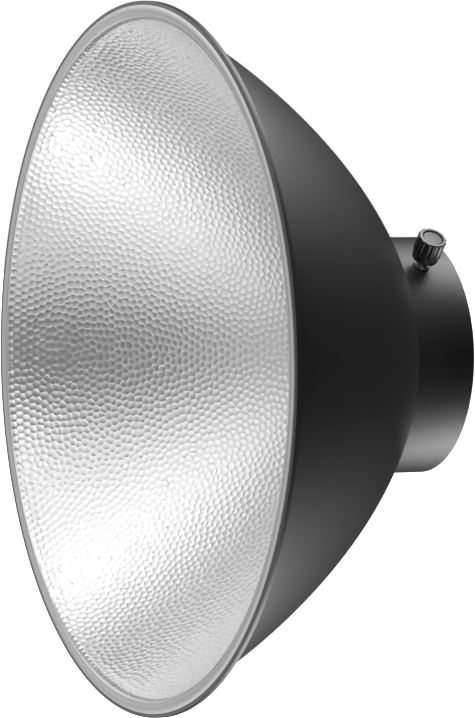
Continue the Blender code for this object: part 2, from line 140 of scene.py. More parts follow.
BOLT_RADIUS = 2.5
BOLT_PITCH = 0.8
BOLT_THREAD_DEPTH = 0.42
THREAD_CREST = 0.12  # share of the pitch that is flat
THREAD_FLANK = 0.70  # share that slopes; what is left is the flat root
THREAD_ROWS = 8  # rings of points in a turn
BOLT_HEAD_ACROSS_FLATS = 8.0
BOLT_HEAD_HEIGHT = 3.2
BOLT_HEAD_CHAMFER = (0.1, 0.35)  # inwards and down
BUSH_FLANGE_RADIUS = 4.3
BUSH_BODY_RADIUS = 3.3
BUSH_TOP = 2.0
BUSH_LIP = 0.6
BUSH_LIP_STANDOFF = 0.5
SLEEVE_RADIUS = 4.2
SLEEVE_BOTTOM = 2.9
SLEEVE_TOP = 6.5
KNOB_BOTTOM = 4.2
KNOB_TOP = 18.4
KNOB_RADIUS = 7.2
KNOB_SKIRT_RADIUS = 6.7
KNOB_SKIRT_ROUND = 2.0
KNOB_TOP_ROUND = 0.7
KNOB_RIBS_BOTTOM = 8.8
KNOB_RIBS = 12
KNOB_FIRST_GROOVE = radians(6.5)
KNOB_GROOVE_DEPTH = 0.62
KNOB_GROOVE_HALF = radians(7.0)
KNOB_GROOVE_FALL = 1.5  # the power of the cosine that a groove's section follows
KNOB_STEP_ROUND = 0.5  # at the ribs' lower ends
KNOB_GROOVES_END = 0.2  # above the ribs' lower ends
KNOB_SEGMENTS = 24  # for each rib
KNOB_POCKET_RADIUS = 4.7
KNOB_POCKET_FLOOR = 12.0
CAP_RADIUS = 4.9
CAP_RECESS = 1.8
CAP_THICKNESS = 1.0
CAP_DISH = 0.15
SHOE_INSET = 5.4
SHOE_THICKNESS = 1.2
JOURNAL_RADIUS = 1.7
GROOVE_RADIUS = 1.2
JOURNAL_TIP = 0.5
CLIP_THICKNESS = 0.6

SHARP_ANGLE = radians(35.0)
DISH_SEGMENTS = 256
COLLAR_SEGMENTS = 192
SMALL_SEGMENTS = 64
BOLT_SEGMENTS = 48
RIVET_SEGMENTS = 32

BORE_RADIUS = COLLAR_RADIUS - COLLAR_WALL


# ---- outlines, as lists of (radius, depth or height) ----


def arc(centre, radius, start, end, steps):
    """Points on an arc. Angles are in radians, from +radius towards +height."""
    angles = [start + (end - start) * i / steps for i in range(steps + 1)]
    return [(centre[0] + radius * cos(a), centre[1] + radius * sin(a)) for a in angles]


def bezier(points, t):
    """A point of a cubic Bezier curve and the unit normal on its outer side."""
    weights = ((1 - t) ** 3, 3 * (1 - t) ** 2 * t, 3 * (1 - t) * t * t, t**3)
    slopes = ((1 - t) ** 2, 2 * (1 - t) * t, t * t)
    place = [sum(w * p[k] for w, p in zip(weights, points)) for k in (0, 1)]
    steps = [[points[i + 1][k] - points[i][k] for k in (0, 1)] for i in range(3)]
    along = [sum(w * s[k] for w, s in zip(slopes, steps)) for k in (0, 1)]
    size = (along[0] ** 2 + along[1] ** 2) ** 0.5
    return place, (along[1] / size, -along[0] / size)


def wall_points():
    """The control points of the shell's wall. The first lies where the bend behind the rim ends."""
    lean = 0.0
    for _ in range(4):
        start = (WALL_START_RADIUS, FLANGE_BACK + BEND_RADIUS * (1 - sin(lean)))
        lean = atan2(start[0] - WALL_HANDLE_1[0], WALL_HANDLE_1[1] - start[1])
    return [start, WALL_HANDLE_1, WALL_HANDLE_2, WALL_END]


WALL = wall_points()
WALL_END_NORMAL = bezier(WALL, 1.0)[1]
SHOULDER_CENTRE = (
    WALL_END[0] - SHOULDER_RADIUS * WALL_END_NORMAL[0],
    WALL_END[1] - SHOULDER_RADIUS * WALL_END_NORMAL[1],
)
BACK_DEPTH = SHOULDER_CENTRE[1] + SHOULDER_RADIUS


def bowl_outline(inset, bend_steps, wall_steps, shoulder_steps):
    """The bowl's section from the flange to the neck, this far inside the shell's outer surface."""
    first_place, first_normal = bezier(WALL, 0.0)
    lean = asin(first_normal[1])
    bend_centre = (
        first_place[0] + BEND_RADIUS * first_normal[0],
        first_place[1] + BEND_RADIUS * first_normal[1],
    )
    points = arc(bend_centre, BEND_RADIUS + inset, -pi / 2, -pi + lean, bend_steps)[:-1]
    for i in range(wall_steps):
        place, normal = bezier(WALL, i / wall_steps)
        points.append((place[0] - inset * normal[0], place[1] - inset * normal[1]))
    shoulder_start = atan2(WALL_END_NORMAL[1], WALL_END_NORMAL[0])
    points += arc(SHOULDER_CENTRE, SHOULDER_RADIUS - inset, shoulder_start, pi / 2, shoulder_steps)
    points.append((NECK_RADIUS, BACK_DEPTH - inset))
    return points


def at_depth(points):
    """Outline points with heights on the dish's axis in place of depths."""
    return [(radius, depth + RIM_Y) for radius, depth in points]


def eased(points, size=EASE, steps=4):
    """A closed outline with each corner rounded by this size, or by less where an edge is short."""
    rounded = []
    for i, corner in enumerate(points):
        corner = np.array(corner)
        ends = []
        for neighbour in (points[i - 1], points[(i + 1) % len(points)]):
            edge = np.array(neighbour) - corner
            length = np.linalg.norm(edge)
            ends.append(corner + edge * min(size, LONGEST_EASE * length) / length)
        for k in range(steps + 1):
            t = k / steps
            rounded.append(tuple((1 - t) ** 2 * ends[0] + 2 * t * (1 - t) * corner + t * t * ends[1]))
    return rounded


# ---- meshes ----


def turned_shape(outline, segments, shape=None):
    """Vertices and faces of a closed outline turned about Z. A point is (radius, height) or has a third
    number, how much of shape(angle, height) is taken off its radius."""
    vertices, rings, faces = [], [], []
    for radius, height, *weight in outline:
        first = len(vertices)
        if radius == 0:
            vertices.append((0.0, 0.0, height))
            rings.append([first] * segments)
            continue
        for k in range(segments):
            angle = 2 * pi * k / segments
            r = radius - (weight[0] * shape(angle, height) if weight else 0.0)
            vertices.append((r * cos(angle), r * sin(angle), height))
        rings.append(list(range(first, first + segments)))
    for i, ring in enumerate(rings):
        following = rings[(i + 1) % len(rings)]
        if ring[0] == ring[-1] and following[0] == following[-1]:
            continue
        for k in range(segments):
            corners = [ring[k], ring[k - 1], following[k - 1], following[k]]
            faces.append(list(dict.fromkeys(corners)))
    return vertices, faces


def new_mesh(name, vertices, faces):
    mesh = bpy.data.meshes.new(name)
    mesh.from_pydata([(x * MM, y * MM, z * MM) for x, y, z in vertices], [], faces)
    return mesh


def tidy_mesh(mesh):
    """Faces outwards, shaded smooth except at sharp edges."""
    shape = bmesh.new()
    shape.from_mesh(mesh)
    bmesh.ops.recalc_face_normals(shape, faces=shape.faces[:])
    shape.to_mesh(mesh)
    shape.free()
    mesh.shade_smooth()
    mesh.set_sharp_from_angle(angle=SHARP_ANGLE)


def add_piece(name, mesh, place, surfaces, body, node):
    """The piece in the scene, riding on its body in place of its CAD node."""
    piece = bpy.data.objects.new(name, mesh)
    for surface in surfaces:
        mesh.materials.append(surface)
    bpy.context.scene.collection.objects.link(piece)
    piece.matrix_world = place
    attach(piece, body)
    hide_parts(node)


def turned(name, outline, segments, place, surface, body, node, shape=None):
    """A piece of one material made by turning its outline."""
    mesh = new_mesh(name, *turned_shape(outline, segments, shape))
    tidy_mesh(mesh)
    add_piece(name, mesh, place, [surface], body, node)


# ---- materials ----


def nodes_of(name):
    made = bpy.data.materials.new(name)
    made.use_nodes = True
    return made, made.node_tree.nodes, made.node_tree.links


def noise(nodes, links, coords, scale, detail=2.0):
    """A noise texture in object space. Scale is in features per metre."""
    texture = nodes.new("ShaderNodeTexNoise")
    texture.inputs["Scale"].default_value = scale
    texture.inputs["Detail"].default_value = detail
    links.new(coords, texture.inputs["Vector"])
    return texture.outputs["Fac"]


def spread(nodes, links, value, low, high):
    """The noise value, which mostly lies between 0.3 and 0.7, mapped to a range."""
    ramp = nodes.new("ShaderNodeMapRange")
    ramp.inputs["From Min"].default_value = 0.3
    ramp.inputs["From Max"].default_value = 0.7
    ramp.inputs["To Min"].default_value = low
    ramp.inputs["To Max"].default_value = high
    links.new(value, ramp.inputs["Value"])
    return ramp.outputs["Result"]


SLOW_CHANGES = 35.0  # features per metre


def finish(
    name, colour, roughness, metallic, grain, grain_height, tone=0.08, sheen=0.0, coat=0.0, specular=0.5
):
    """A surface with fine grain in relief and slow changes of tone and roughness.
    roughness is (lowest, highest), grain is in features per metre and grain_height in micrometres."""
    made, nodes, links = nodes_of(name)
    shader = nodes["Principled BSDF"]
    coords = nodes.new("ShaderNodeTexCoord").outputs["Object"]
    slow = noise(nodes, links, coords, SLOW_CHANGES, detail=3.0)
    mix = nodes.new("ShaderNodeMix")
    mix.data_type = "RGBA"
    mix.inputs["A"].default_value = (*[c * (1 - tone) for c in colour], 1)
    mix.inputs["B"].default_value = (*[min(c * (1 + tone), 1.0) for c in colour], 1)
    links.new(slow, mix.inputs["Factor"])
    links.new(mix.outputs["Result"], shader.inputs["Base Color"])
    fine = noise(nodes, links, coords, grain)
    links.new(spread(nodes, links, fine, *roughness), shader.inputs["Roughness"])
    shader.inputs["Metallic"].default_value = metallic
    shader.inputs["Sheen Weight"].default_value = sheen
    shader.inputs["Coat Weight"].default_value = coat
    shader.inputs["Coat Roughness"].default_value = roughness[0]
    shader.inputs["Specular IOR Level"].default_value = specular
    bump = nodes.new("ShaderNodeBump")
    bump.inputs["Strength"].default_value = 1.0
    bump.inputs["Distance"].default_value = grain_height * MICRON
    links.new(fine, bump.inputs["Height"])
    links.new(bump.outputs["Normal"], shader.inputs["Normal"])
    return made


SHELL_PAINT = finish(
    "satin_black_coat", (0.012, 0.012, 0.012), (0.38, 0.46), 0.0, 2600, 12, specular=0.95
)
COLLAR_PAINT = finish("black_anodised_tube", (0.13, 0.13, 0.131), (0.38, 0.46), 1.0, 2600, 8)
RIM_PAINT = finish(
    "black_rim_coat", (0.02, 0.02, 0.02), (0.34, 0.42), 0.0, 2600, 8, coat=0.6, specular=1.0
)
PEBBLED = finish("pebbled_silver", (0.86, 0.86, 0.86), (0.24, 0.34), 1.0, 4000, 4, tone=0.03)
# The rolled rim is the same silver sheet as the pebbles. Its colour is darker than PEBBLED's as painted
# shade on the land and its lip; its roughness and grain are its own.
SHADED_ROLLED_SILVER = finish("rolled_silver_rim_painted_shade", (0.76, 0.76, 0.76), (0.26, 0.36), 1.0, 3000, 4, tone=0.04)
STAINLESS = finish("brushed_stainless", (0.62, 0.61, 0.59), (0.22, 0.36), 1.0, 3000, 4)
RIVET_METAL = finish("plain_aluminium", (0.70, 0.70, 0.71), (0.30, 0.42), 1.0, 2500, 8)
NICKEL = finish("bright_nickel", (0.72, 0.72, 0.72), (0.22, 0.30), 1.0, 2500, 3)
KNOB_PLASTIC = finish(
    "black_knob_plastic", (0.020, 0.020, 0.020), (0.30, 0.40), 0.0, 4500, 12, coat=0.8, specular=0.8
)
CAP_PLASTIC = finish(
    "grey_cap_plastic", (0.026, 0.026, 0.026), (0.36, 0.46), 0.0, 4500, 12, coat=0.6, specular=0.7
)
ZINC = finish("bright_zinc", (0.56, 0.57, 0.58), (0.24, 0.40), 1.0, 900, 6, tone=0.12)
RUBBER = finish("black_rubber", (0.028, 0.028, 0.028), (0.72, 0.9), 0.0, 2500, 40)
FELT = finish("black_felt", (0.030, 0.030, 0.032), (0.9, 1.0), 0.0, 3200, 250, tone=0.3, sheen=0.4)


# ---- the pebbled liner ----


def liner_surface():
    """The liner's face from the pebbles' edge to the neck: arrays of the distance along it, radius, depth,
    and the normal into the hollow."""
    points = np.array(bowl_outline(FLANGE_BACK, 60, 400, 60))
    steps = np.linalg.norm(np.diff(points, axis=0), axis=1)
    along = np.concatenate([[0.0], np.cumsum(steps)])
    start = np.interp(-PEBBLE_EDGE_RADIUS, -points[:, 0], along)
    distance = np.linspace(start, along[-1], 1500)
    radius = np.interp(distance, along, points[:, 0])
    depth = np.interp(distance, along, points[:, 1])
    slope_r, slope_d = np.gradient(radius, distance), np.gradient(depth, distance)
    size = np.hypot(slope_r, slope_d)
    return distance - start, radius, depth, -slope_d / size, slope_r / size


FACE = liner_surface()
FACE_LENGTH = FACE[0][-1]
# Lengths divided by the radius: with the angle they make a plane in which a pebble's shape is kept.
FACE_PLANE = np.concatenate([[0.0], np.cumsum(np.diff(FACE[0]) / FACE[1][1:])])


def on_face(distance, angle, height):
    """Points on the liner's face, with heights above the grooves, which lie inside the sheet."""
    radius, depth, normal_r, normal_d = [np.interp(distance, FACE[0], each) for each in FACE[1:]]
    lift = height - PEBBLE_HEIGHT
    r = radius + normal_r * lift
    return np.stack([r * np.cos(angle), r * np.sin(angle), depth + normal_d * lift + RIM_Y], axis=-1)


def pebble_seeds(random):
    """The pebbles' centres in staggered rings, disturbed except in the first and the last ring.
    Each is (place in the plane, angle). Also the number of pebbles in the first and the last ring."""
    rows = round(FACE_LENGTH / (PEBBLE_PITCH * 3**0.5 / 2))
    seeds, counts = [], []
    for row in range(rows):
        distance = (row + 0.5) * FACE_LENGTH / rows
        counts.append(round(2 * pi * np.interp(distance, FACE[0], FACE[1]) / PEBBLE_PITCH))
        loose = 0.0 if row in (0, rows - 1) else 1.0
        stagger = 0.5 * (row % 2 == 0) if row < rows - 1 else 0.5
        for k in range(counts[-1]):
            shift = random.uniform(-1, 1, 2) * loose
            angle = (k + stagger + PEBBLE_DISORDER * shift[0]) * 2 * pi / counts[-1]
            place = distance + PEBBLE_DISORDER * shift[1] * FACE_LENGTH / rows
            seeds.append((np.interp(place, FACE[0], FACE_PLANE), angle))
    return np.array(seeds), counts[0], counts[-1]


def voronoi_corners(seeds, first_count, last_count):
    """Each pebble's corners, where three pebbles meet. Returns the corners as (place in the plane, angle)
    and pairs of (pebble, corner). Mirrored rings outside both edges make the edges straight."""
    ends = (0.0, FACE_PLANE[-1])
    mirrored_first = seeds[:first_count] * (-1, 1)
    mirrored_last = (2 * ends[1] - seeds[-last_count:, 0:1], seeds[-last_count:, 1:2])
    everything = np.concatenate([seeds, mirrored_first, np.hstack(mirrored_last)])
    flat = np.exp(-everything[:, 0:1]) * np.stack([np.cos(everything[:, 1]), np.sin(everything[:, 1])], 1)
    points, _, triangles, origins, _, _ = delaunay_2d_cdt([Vector(p) for p in flat], [], [], 0, 1e-9)
    source = np.array([origin[0] for origin in origins])
    triangles = source[np.array(triangles)]
    real = triangles < len(seeds)
    triangles, real = triangles[real.any(1)], real[real.any(1)]
    a, b, c = [flat[triangles[:, k]] for k in range(3)]
    ab, ac = b - a, c - a
    twice = 2 * (ab[:, 0] * ac[:, 1] - ab[:, 1] * ac[:, 0])
    lab, lac = (ab**2).sum(1), (ac**2).sum(1)
    x = a[:, 0] + (ac[:, 1] * lab - ab[:, 1] * lac) / twice
    y = a[:, 1] + (ab[:, 0] * lac - ac[:, 0] * lab) / twice
    place, angle = -np.log(np.hypot(x, y)), np.arctan2(y, x)
    for low, high, end, count in (
        (len(seeds), len(seeds) + first_count, ends[0], first_count),
        (len(seeds) + first_count, len(everything), ends[1], last_count),
    ):
        edge = ((triangles >= low) & (triangles < high)).any(1)
        place[edge] = end
        angle[edge] = np.round(angle[edge] * count / (2 * pi)) * 2 * pi / count
    pairs = np.argwhere(real)
    return np.stack([place, angle], 1), triangles[pairs[:, 0], pairs[:, 1]], pairs[:, 0]


def reach_of_corners(seeds, corners, owner, corner):
    """From each pebble's centre to its corners, in the plane."""
    reach = corners[corner] - seeds[owner]
    reach[:, 1] = (reach[:, 1] + pi) % (2 * pi) - pi
    return reach


def pebbles():
    """Vertices and faces of the pebbled face: each pebble is a low pillow between sharp grooves. The first
    vertices are the corners in the grooves."""
    random = np.random.default_rng(11)
    seeds, first_count, last_count = pebble_seeds(random)
    inner_rows = slice(first_count, len(seeds) - last_count)
    for _ in range(2):
        found = voronoi_corners(seeds, first_count, last_count)
        reach = reach_of_corners(seeds, *found)
        total = np.zeros_like(seeds)
        np.add.at(total, found[1], reach)
        count = np.bincount(found[1], minlength=len(seeds))[:, None]
        seeds[inner_rows] += (total / count)[inner_rows]
    corners, owner, corner = voronoi_corners(seeds, first_count, last_count)
    reach = reach_of_corners(seeds, corners, owner, corner)
    order = np.lexsort((np.arctan2(reach[:, 0], reach[:, 1]), owner))
    owner, corner, reach = owner[order], corner[order], reach[order]
    starts = np.searchsorted(owner, np.arange(len(seeds) + 1))
    following = np.arange(len(owner)) + 1
    following[starts[1:] - 1] = starts[:-1]
    tops = seeds + random.normal(0, TOP_WANDER, seeds.shape) * PEBBLE_PITCH / TYPICAL_RADIUS
    from_edge = np.interp(seeds[:, 0], FACE_PLANE, FACE[0])
    rise = EDGE_PEBBLE + (1 - EDGE_PEBBLE) * from_edge / EDGE_RISE_LENGTH
    size = random.uniform(LOWEST_PEBBLE, 1.0, len(seeds)) * np.clip(rise, 0.0, 1.0)
    inner = tops[owner] + PILLOW_SHARE * (seeds[owner] + reach - tops[owner])
    distances = [np.interp(each[:, 0], FACE_PLANE, FACE[0]) for each in (corners, inner, tops)]
    vertices = np.concatenate(
        [
            on_face(distances[0], corners[:, 1], np.zeros(len(corners))),
            on_face(distances[1], inner[:, 1], PILLOW_RISE * PEBBLE_HEIGHT * size[owner]),
            on_face(distances[2], tops[:, 1], PEBBLE_HEIGHT * size),
        ]
    )
    ring = len(corners) + np.arange(len(owner))
    sides = np.stack([corner, corner[following], ring[following], ring], 1)
    caps = np.stack([ring, ring[following], len(corners) + len(owner) + owner], 1)
    return vertices, sides.tolist() + caps.tolist(), len(corners), first_count, last_count


def rim_and_back(segments):
    """The liner beyond its pebbles: the edge's groove, the smooth bend and crowned land, the rolled hem with
    its leaf behind the shell's flange, and the back of the sheet down to the neck."""
    hem_centre = (RIM_RADIUS - RIM_THICKNESS / 2, RIM_THICKNESS / 2)
    edge = np.array([FACE[1][0], FACE[2][0]]) - PEBBLE_HEIGHT * np.array([FACE[3][0], FACE[4][0]])
    bend_end = PEBBLE_EDGE_RADIUS + EDGE_LEDGE
    bend = [point for point in bowl_outline(FLANGE_BACK, 24, 1, 1) if point[0] > bend_end]
    land_start = bend[0][0]
    sink = LAND_CROWN / (land_start - PEBBLE_EDGE_RADIUS)
    bend = [(radius, depth + sink * (radius - PEBBLE_EDGE_RADIUS)) for radius, depth in bend[::-1]]
    middle = (land_start + PAINT_EDGE_RADIUS) / 2
    width = PAINT_EDGE_RADIUS - land_start
    radii = [land_start + width * i / LAND_STEPS for i in range(1, LAND_STEPS + 1)]
    land = [(r, LAND_CROWN * ((r - middle) / (middle - land_start)) ** 2) for r in radii]
    corner_centre = (RIM_RADIUS - HEM_CORNER_RADIUS, HEM_CORNER_DEPTH)
    hem = arc(corner_centre, HEM_CORNER_RADIUS, HEM_CORNER_START - pi / 2, 0.0, 6)
    back_centre = (RIM_RADIUS - HEM_BACK_RADIUS, RIM_THICKNESS - HEM_BACK_RADIUS)
    hem += arc(back_centre, HEM_BACK_RADIUS, 0.0, pi / 2, 5)
    leaf = [
        (HEM_LEAF_RADIUS + EASE, RIM_THICKNESS),
        (HEM_LEAF_RADIUS, RIM_THICKNESS - EASE),
        (HEM_LEAF_RADIUS, RIM_THICKNESS - LINER_THICKNESS),
    ]
    inside = arc(hem_centre, hem_centre[1] - LINER_THICKNESS, pi / 2, -pi / 2, 4)
    back = bowl_outline(SHELL_THICKNESS + GAP, 3, 24, 5)
    outline = at_depth([tuple(edge)] + bend + land + hem + leaf + inside + back)
    vertices, faces = turned_shape(outline, segments)
    return vertices, faces[: (len(outline) - 1) * segments]


def zip_rings(first, second):
    """Triangles between two rings of vertices that start at the same angle and turn the same way."""
    faces = []
    i = j = 0
    while i < len(first) or j < len(second):
        if j == len(second) or (i < len(first) and (i + 1) / len(first) <= (j + 1) / len(second)):
            faces.append((first[i], first[(i + 1) % len(first)], second[j % len(second)]))
            i += 1
        else:
            faces.append((first[i % len(first)], second[(j + 1) % len(second)], second[j]))
            j += 1
    return faces


def make_inner_reflector():
    """The liner as one closed sheet. Its smooth part is silver, darkened with painted shade, as far as
    PAINT_EDGE_RADIUS, then black.
    """
    finishes = [PEBBLED, SHADED_ROLLED_SILVER, RIM_PAINT]
    face_points, face_faces, corner_count, first_count, last_count = pebbles()
    back_points, back_faces = rim_and_back(first_count)
    shift = len(face_points)
    neck_angles = 2 * pi * np.arange(last_count) / last_count
    neck = on_face(np.full(last_count, FACE_LENGTH), neck_angles, np.zeros(last_count))
    neck_first = shift + len(back_points)
    cut_edge = zip_rings(
        list(range(neck_first - first_count, neck_first)), list(range(neck_first, neck_first + last_count))
    )
    vertices = face_points.tolist() + back_points + neck.tolist()
    faces = face_faces + [[v + shift for v in face] for face in back_faces] + cut_edge
    mesh = new_mesh("inner_reflector_pebbled", vertices, faces)
    shape = bmesh.new()
    shape.from_mesh(mesh)
    in_groove = shape.verts.layers.int.new("in_groove")
    shape.verts.ensure_lookup_table()
    for vertex in shape.verts[:corner_count]:
        vertex[in_groove] = 1
    shape.faces.ensure_lookup_table()
    # The smooth rim takes the rolled silver, whose darker colour is painted shade, and beyond
    # PAINT_EDGE_RADIUS the black coat.
    for face in shape.faces[len(face_faces) :]:
        painted = face.calc_center_median().xy.length > PAINT_EDGE_RADIUS * MM
        face.material_index = finishes.index(RIM_PAINT if painted else SHADED_ROLLED_SILVER)
    bmesh.ops.remove_doubles(shape, verts=shape.verts[:], dist=WELD_DISTANCE * MM)
    bmesh.ops.recalc_face_normals(shape, faces=shape.faces[:])
    for edge in shape.edges:
        turn = edge.calc_face_angle(0.0)
        between_pebbles = edge.verts[0][in_groove] and edge.verts[1][in_groove]
        edge.smooth = not (between_pebbles or turn > RIM_SHARP_ANGLE)
    shape.verts.layers.int.remove(in_groove)
    for face in shape.faces:
        face.smooth = True
    shape.to_mesh(mesh)
    shape.free()
    add_piece(
        "inner_reflector_pebbled",
        mesh,
        DISH,
        finishes,
        "reflector",
        "inner_reflector",
    )


# ---- the rest of the dish ----


def make_outer_shell():
    """The black spun shell, with its flange inside the liner's rolled hem."""
    flange_end = RIM_RADIUS - RIM_THICKNESS / 2
    outside = [(flange_end, FLANGE_BACK)] + bowl_outline(0.0, 8, 60, 12)
    inside = [(flange_end, FLANGE_BACK - SHELL_THICKNESS)] + bowl_outline(SHELL_THICKNESS, 3, 20, 4)
    turned(
        "outer_shell_spun",
        at_depth(outside[::-1] + inside),
        DISH_SEGMENTS,
        DISH,
        SHELL_PAINT,
        "reflector",
        "outer_shell",
    )


def make_mounting_collar():
    """The black tube with eased edges and an inward flange at its front."""
    flange_rear = COLLAR_FRONT + COLLAR_FLANGE
    points = [
        (COLLAR_RADIUS, 0.0),
        (COLLAR_RADIUS, COLLAR_FRONT),
        (NECK_RADIUS, COLLAR_FRONT),
        (NECK_RADIUS, flange_rear),
        (BORE_RADIUS, flange_rear),
        (BORE_RADIUS, 0.0),
    ]
    turned(
        "mounting_collar_tube",
        eased(points, COLLAR_EDGE),
        COLLAR_SEGMENTS,
        DISH,
        COLLAR_PAINT,
        "reflector",
        "mounting_collar",
    )


def make_neck_ring():
    points = [
        (NECK_RING_RADIUS, NECK_RING_REAR),
        (NECK_RING_RADIUS, NECK_RING_FRONT),
        (NECK_RADIUS, NECK_RING_FRONT),
        (NECK_RADIUS, NECK_RING_REAR),
    ]
    turned(
        "neck_ring_washer",
        eased(points),
        COLLAR_SEGMENTS,
        DISH,
        STAINLESS,
        "reflector",
        "neck_ring",
    )


def make_rivets():
    """Domed rivets, each where its CAD node is."""
    head_face = NECK_RING_FRONT - GAP
    tail_face = COLLAR_FRONT + COLLAR_FLANGE + GAP
    flatness = RIVET_HEAD_HEIGHT / RIVET_HEAD
    ball = arc((0.0, 0.0), RIVET_HEAD, 0.0, -pi / 2, 10)[:-1]
    outline = [
        *[(RIVET_TAIL * r, tail_face + RIVET_TAIL_HEIGHT * h) for r, h in RIVET_TAIL_SECTION],
        (RIVET_SHANK, tail_face),
        (RIVET_SHANK, head_face),
        *[(radius, head_face + flatness * height) for radius, height in ball],
        (0.0, head_face - RIVET_HEAD_HEIGHT),
    ]
    for node in RIVETS:
        low, high = node_box(node)
        place = Matrix.Translation(((low[0] + high[0]) / 2 * MM, 0, (low[2] + high[2]) / 2 * MM)) @ DISH
        turned(
            node + "_domed",
            outline,
            RIVET_SEGMENTS,
            place,
            RIVET_METAL,
            "reflector",
            node,
        )


# ---- the clamp ----


def make_clamp_bush():
    bore = BOLT_RADIUS + GAP
    lip_top = BORE_RADIUS - BUSH_LIP_STANDOFF
    points = [
        (BUSH_FLANGE_RADIUS, COLLAR_RADIUS + BUSH_TOP),
        (BUSH_FLANGE_RADIUS, COLLAR_RADIUS + GAP),
        (BUSH_BODY_RADIUS, COLLAR_RADIUS + GAP),
        (BUSH_BODY_RADIUS, lip_top),
        (BUSH_FLANGE_RADIUS, lip_top),
        (BUSH_FLANGE_RADIUS, lip_top - BUSH_LIP),
        (bore, lip_top - BUSH_LIP),
        (bore, COLLAR_RADIUS + BUSH_TOP),
    ]
    turned(
        "clamp_bush_turned",
        eased(points),
        SMALL_SEGMENTS,
        CLAMP,
        NICKEL,
        "reflector",
        "clamp_bush",
    )


def make_neck_sleeve():
    bore = BOLT_RADIUS + GAP
    low, high = COLLAR_RADIUS + SLEEVE_BOTTOM, COLLAR_RADIUS + SLEEVE_TOP
    points = [(SLEEVE_RADIUS, high), (SLEEVE_RADIUS, low), (bore, low), (bore, high)]
    turned(
        "neck_sleeve_turned",
        eased(points),
        SMALL_SEGMENTS,
        CLAMP,
        NICKEL,
        "clamp_screw",
        "neck_sleeve",
    )


def thread(angle, height):
    """How deep a right-hand thread's flank is below its crest."""
    phase = (height / BOLT_PITCH - angle / (2 * pi)) % 1.0
    flank = min(phase, 1.0 - phase) * 2
    return BOLT_THREAD_DEPTH * min(max((flank - THREAD_CREST) / THREAD_FLANK, 0.0), 1.0)


def make_clamp_bolt():
    """The bolt: its hexagon head, its thread, and the journal that the shoe swivels on."""
    shoe_back = BORE_RADIUS - SHOE_INSET
    shoulder = shoe_back + GAP
    groove_top = shoe_back - SHOE_THICKNESS - GAP / 2
    groove_bottom = groove_top - CLIP_THICKNESS - GAP
    tip = groove_bottom - JOURNAL_TIP
    head_bottom = COLLAR_RADIUS + KNOB_POCKET_FLOOR + GAP
    head_top = head_bottom + BOLT_HEAD_HEIGHT
    thread_length = head_bottom - shoulder - 2 * EASE
    rows = round(thread_length / BOLT_PITCH * THREAD_ROWS)
    threaded = [
        (BOLT_RADIUS, head_bottom - EASE - thread_length * i / rows, 1.0) for i in range(rows + 1)
    ]
    across_corners = BOLT_HEAD_ACROSS_FLATS / 2 / cos(pi / 6)
    outline = [
        (0.0, head_top),
        (BOLT_HEAD_ACROSS_FLATS / 2 - BOLT_HEAD_CHAMFER[0], head_top),
        (across_corners, head_top - BOLT_HEAD_CHAMFER[1], 1.0),
        (across_corners, head_bottom, 1.0),
        (BOLT_RADIUS, head_bottom),
        *threaded,
        (BOLT_RADIUS - BOLT_THREAD_DEPTH, shoulder),
        (JOURNAL_RADIUS, shoulder),
        (JOURNAL_RADIUS, groove_top),
        (GROOVE_RADIUS, groove_top),
        (GROOVE_RADIUS, groove_bottom),
        (JOURNAL_RADIUS, groove_bottom),
        (JOURNAL_RADIUS, tip + EASE),
        (JOURNAL_RADIUS - EASE, tip),
        (0.0, tip),
    ]

    def hexagon_or_thread(angle, height):
        if height < head_bottom:
            return thread(angle, height)
        from_flat = (angle + pi / 6) % (pi / 3) - pi / 6
        return across_corners - BOLT_HEAD_ACROSS_FLATS / 2 / cos(from_flat)

    turned(
        "clamp_bolt_threaded",
        outline,
        BOLT_SEGMENTS,
        CLAMP,
        ZINC,
        "clamp_screw",
        "clamp_bolt",
        shape=hexagon_or_thread,
    )


def knob_groove(angle, height):
    """The depth of the knob's grooves, which are round in section."""
    pitch = 2 * pi / KNOB_RIBS
    off = abs((angle - KNOB_FIRST_GROOVE + pitch / 2) % pitch - pitch / 2)
    share = min(off / KNOB_GROOVE_HALF, 1.0)
    return KNOB_GROOVE_DEPTH * cos(pi / 2 * share) ** KNOB_GROOVE_FALL


